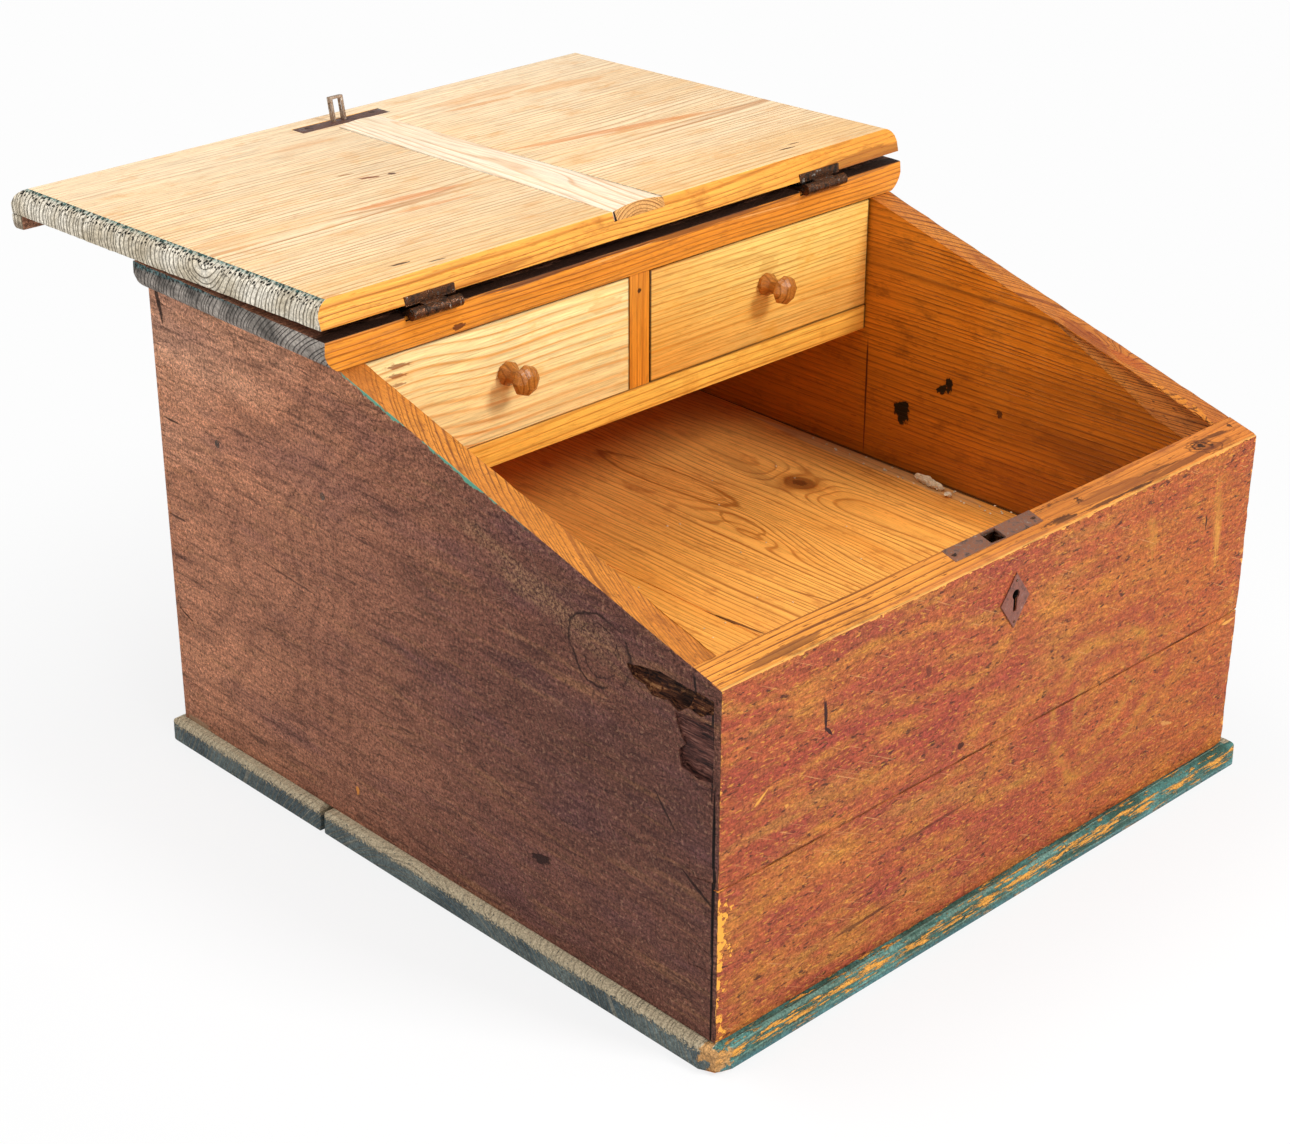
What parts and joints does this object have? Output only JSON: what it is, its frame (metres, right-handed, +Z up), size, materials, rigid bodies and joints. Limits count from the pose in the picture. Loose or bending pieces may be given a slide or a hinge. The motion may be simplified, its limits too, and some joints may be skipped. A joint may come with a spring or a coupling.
{
  "type": "writing chest",
  "caption": "Slant-lid table-top writing chest with an open well, small inner drawers, a chest lock and a lid folded back on strap hinges.",
  "frame": {"origin": "middle of the case's footprint, on the ground under the bottom boards", "axes": "+Z up, the front with the keyhole faces -Y, +X to the right as seen from the front; the lid is folded back towards +Y"},
  "size_m": [0.5, 0.6505, 0.3775],
  "materials": {
    "painted_side": "purple-brown paint over pine outside, bare oiled pine inside",
    "painted_front": "red-brown and ochre grained paint over pine",
    "painted_moulding": "worn blue-green paint over pine",
    "bare_pine": "aged bare pine, waxed",
    "pale_pine": "paler bare pine",
    "iron": "wrought iron, brown with age",
    "knob_wood": "whittled hardwood"
  },
  "bodies": {
    "case": {"left_side": "painted_side", "right_side": "painted_side", "front_upper_plank": "painted_front", "front_lower_plank": "painted_front", "back_upper_plank": "painted_side", "back_lower_plank": "painted_side", "bottom_front_board": "painted_moulding", "bottom_rear_board": "painted_moulding", "top_board": "painted_moulding", "well_floor_left": "bare_pine", "well_floor_right": "bare_pine", "floor_cleat_left": "bare_pine", "floor_cleat_right": "bare_pine", "drawer_shelf": "bare_pine", "drawer_divider": "bare_pine", "left_hinge_fixed_leaf": "iron", "right_hinge_fixed_leaf": "iron", "left_hinge_pin": "iron", "right_hinge_pin": "iron", "hinge_nails_fixed": "iron", "lock_plate": "iron", "lock_selvedge": "iron", "tumbler_pin": "iron", "lock_spring": "iron", "key_pin": "iron", "lock_nails": "iron", "escutcheon": "iron", "escutcheon_pins": "iron", "bottom_nails": "iron", "top_nails": "iron", "shelf_nails": "iron"},
    "lid": {"lid_board": "bare_pine", "lid_batten": "pale_pine", "book_ledge": "painted_moulding", "ledge_nails": "iron", "left_hinge_moving_leaf": "iron", "right_hinge_moving_leaf": "iron", "hinge_nails_lid": "iron", "staple_plate": "iron", "staple_eye": "iron", "staple_nails": "iron"},
    "left_drawer": {"left_drawer_front": "pale_pine", "left_drawer_left_side": "bare_pine", "left_drawer_right_side": "bare_pine", "left_drawer_back": "bare_pine", "left_drawer_bottom": "bare_pine", "left_drawer_knob": "knob_wood", "left_drawer_nails": "iron"},
    "right_drawer": {"right_drawer_front": "pale_pine", "right_drawer_left_side": "bare_pine", "right_drawer_right_side": "bare_pine", "right_drawer_back": "bare_pine", "right_drawer_bottom": "bare_pine", "right_drawer_knob": "knob_wood", "right_drawer_nails": "iron"},
    "bolt": {"lock_bolt": "iron"},
    "tumbler": {"lock_tumbler": "iron"}
  },
  "joints": [
    {"name": "lid_hinge", "type": "hinge", "parent": "case", "child": "lid", "pos_m": [0, 0.0565, 0.34781], "axis": [-1, 0, 0], "range_deg": [-196.9, 0]},
    {"name": "left_drawer_slide", "type": "slide", "parent": "case", "child": "left_drawer", "axis": [0, -1, 0], "range_m": [0, 0.14]},
    {"name": "right_drawer_slide", "type": "slide", "parent": "case", "child": "right_drawer", "axis": [0, -1, 0], "range_m": [0, 0.14]},
    {"name": "bolt_slide", "type": "slide", "parent": "case", "child": "bolt", "axis": [1, 0, 0], "range_m": [-0.0155, 0]},
    {"name": "tumbler_pivot", "type": "hinge", "parent": "case", "child": "tumbler", "pos_m": [-0.0286, -0.23262, 0.21216], "axis": [0, -1, 0], "range_deg": [0, 6.5]}
  ]
}
